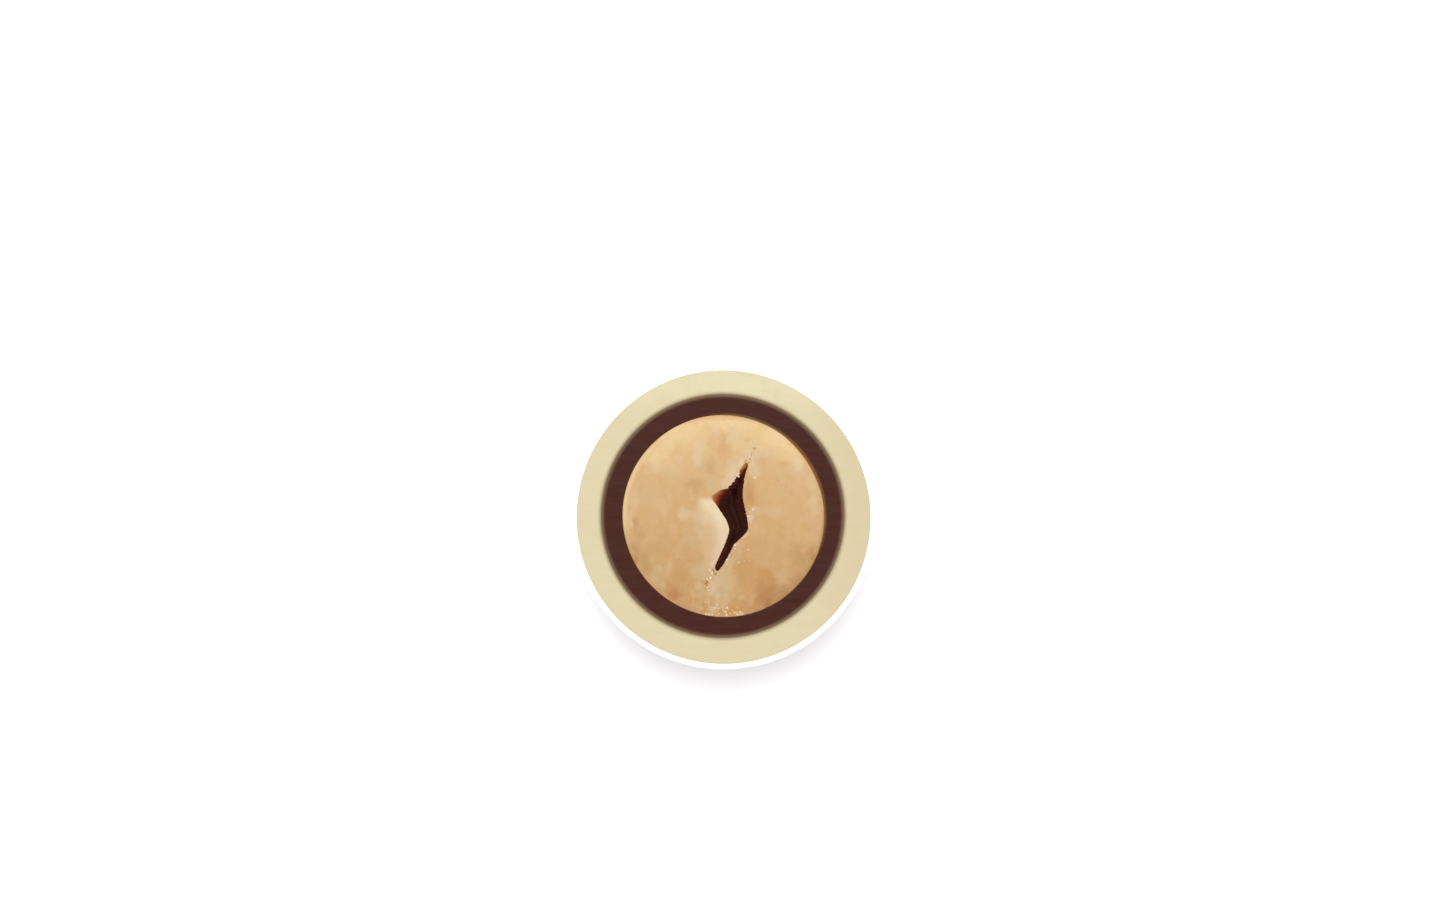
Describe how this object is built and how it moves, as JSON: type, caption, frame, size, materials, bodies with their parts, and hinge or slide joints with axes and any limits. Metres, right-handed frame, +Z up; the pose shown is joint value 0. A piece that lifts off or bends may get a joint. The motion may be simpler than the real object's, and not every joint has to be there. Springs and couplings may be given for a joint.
{
  "type": "halved sugared nut",
  "caption": "Half of a round sugared nut, cut through to show its kernel, dark and white chocolate coats and thin sugar shell.",
  "frame": {"origin": "middle of the small flat spot on the sugar shell that the half rests on", "axes": "+Z up out of the cut face, +Y towards the upper end of the kernel's hollow as pictured, +X to the right of the cut face as pictured"},
  "size_m": [0.02, 0.02, 0.0098],
  "materials": {
    "roasted_kernel": "matte cut flesh of a blanched, roasted hazelnut, mottled tan, paler beside the hollow",
    "dark_chocolate": "satin cut dark chocolate",
    "white_chocolate": "satin cut white chocolate, ivory, smeared with dark at its inner edge",
    "pearly_sugar": "polished pearly sugar shell, pale pink with grey-lilac clouds outside and pure white where cut"
  },
  "bodies": {
    "root": {"nut_kernel": "roasted_kernel", "dark_chocolate": "dark_chocolate", "white_chocolate": "white_chocolate", "sugar_shell": "pearly_sugar"}
  },
  "joints": []
}
